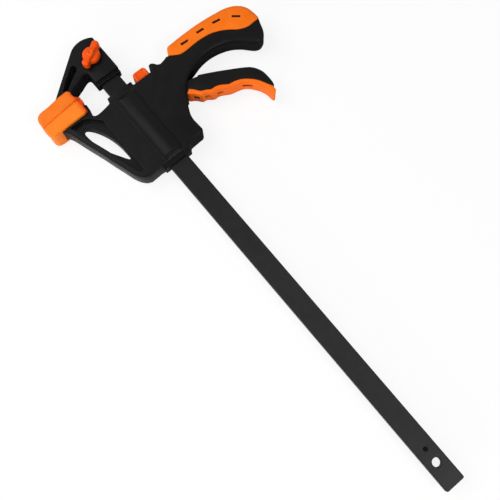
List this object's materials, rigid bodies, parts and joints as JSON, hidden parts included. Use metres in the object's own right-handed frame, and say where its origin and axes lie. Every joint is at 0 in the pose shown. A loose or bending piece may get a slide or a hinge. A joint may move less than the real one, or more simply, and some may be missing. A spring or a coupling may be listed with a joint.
{
  "type": "quick release bar clamp",
  "caption": "One-handed quick release bar clamp with a squeeze trigger, a release button, soft jaw pads and a steel bar.",
  "frame": {"origin": "where the closed pads meet, on the bar's centreline and in its mid plane", "axes": "+X along the bar towards its free end, +Y from the jaws towards the handle, +Z across the clamp towards the lock knob"},
  "size_m": [0.4846, 0.2107, 0.0322],
  "materials": {
    "black_nylon": "fine matte texture",
    "soft_orange": "soft matte elastomer",
    "orange_plastic": "smooth moulded",
    "bar_finish": "satin black oxide",
    "bright_steel": "zinc plated",
    "hard_steel": "hardened and tumbled"
  },
  "bodies": {
    "bar_assembly": {"bar": "bar_finish", "bar_stop_pin": "bright_steel", "fixed_jaw": "black_nylon", "fixed_jaw_pad": "soft_orange", "lock_nut": "bright_steel", "lock_washer": "bright_steel"},
    "lock": {"lock_knob": "orange_plastic", "lock_stud": "bright_steel"},
    "jaw_slider": {"jaw_body": "black_nylon", "moving_jaw_pad": "soft_orange", "handle_grip": "soft_orange", "trigger_pin": "bright_steel", "drive_spring": "bright_steel", "spring_washer": "bright_steel", "brake_spring": "bright_steel"},
    "trigger_lever": {"trigger": "black_nylon", "trigger_grip": "soft_orange"},
    "drive_plates": {"drive_plate_front": "hard_steel", "drive_plate_rear": "hard_steel"},
    "brake": {"brake_lever": "hard_steel", "release_button": "orange_plastic"}
  },
  "joints": [
    {"name": "jaw_slide", "type": "slide", "parent": "bar_assembly", "child": "jaw_slider", "axis": [1, 0, 0], "range_m": [0, 0.306]},
    {"name": "trigger_squeeze", "type": "hinge", "parent": "jaw_slider", "child": "trigger_lever", "pos_m": [0.0465, 0.033, 0], "axis": [0, 0, 1], "range_deg": [0, 13.5], "stiffness_Nm_per_rad": 0.6, "springref_deg": -14.32},
    {"name": "plate_drive", "type": "slide", "parent": "jaw_slider", "child": "drive_plates", "axis": [1, 0, 0], "range_m": [0, 0.0055], "deforming": ["drive_spring"]},
    {"name": "brake_release", "type": "hinge", "parent": "jaw_slider", "child": "brake", "pos_m": [0.0245, -0.0135, 0], "axis": [0, 0, -1], "range_deg": [0, 6], "stiffness_Nm_per_rad": 0.5, "springref_deg": -5.73, "deforming": ["brake_spring"]},
    {"name": "knob_turn", "type": "hinge", "parent": "bar_assembly", "child": "lock", "pos_m": [-0.0268, 0, 0], "axis": [0, 0, 1], "range_deg": [0, 360]}
  ],
  "couplings": [
    {"joint": "plate_drive", "follows": "trigger_squeeze", "m_per_rad": 0.0185}
  ]
}
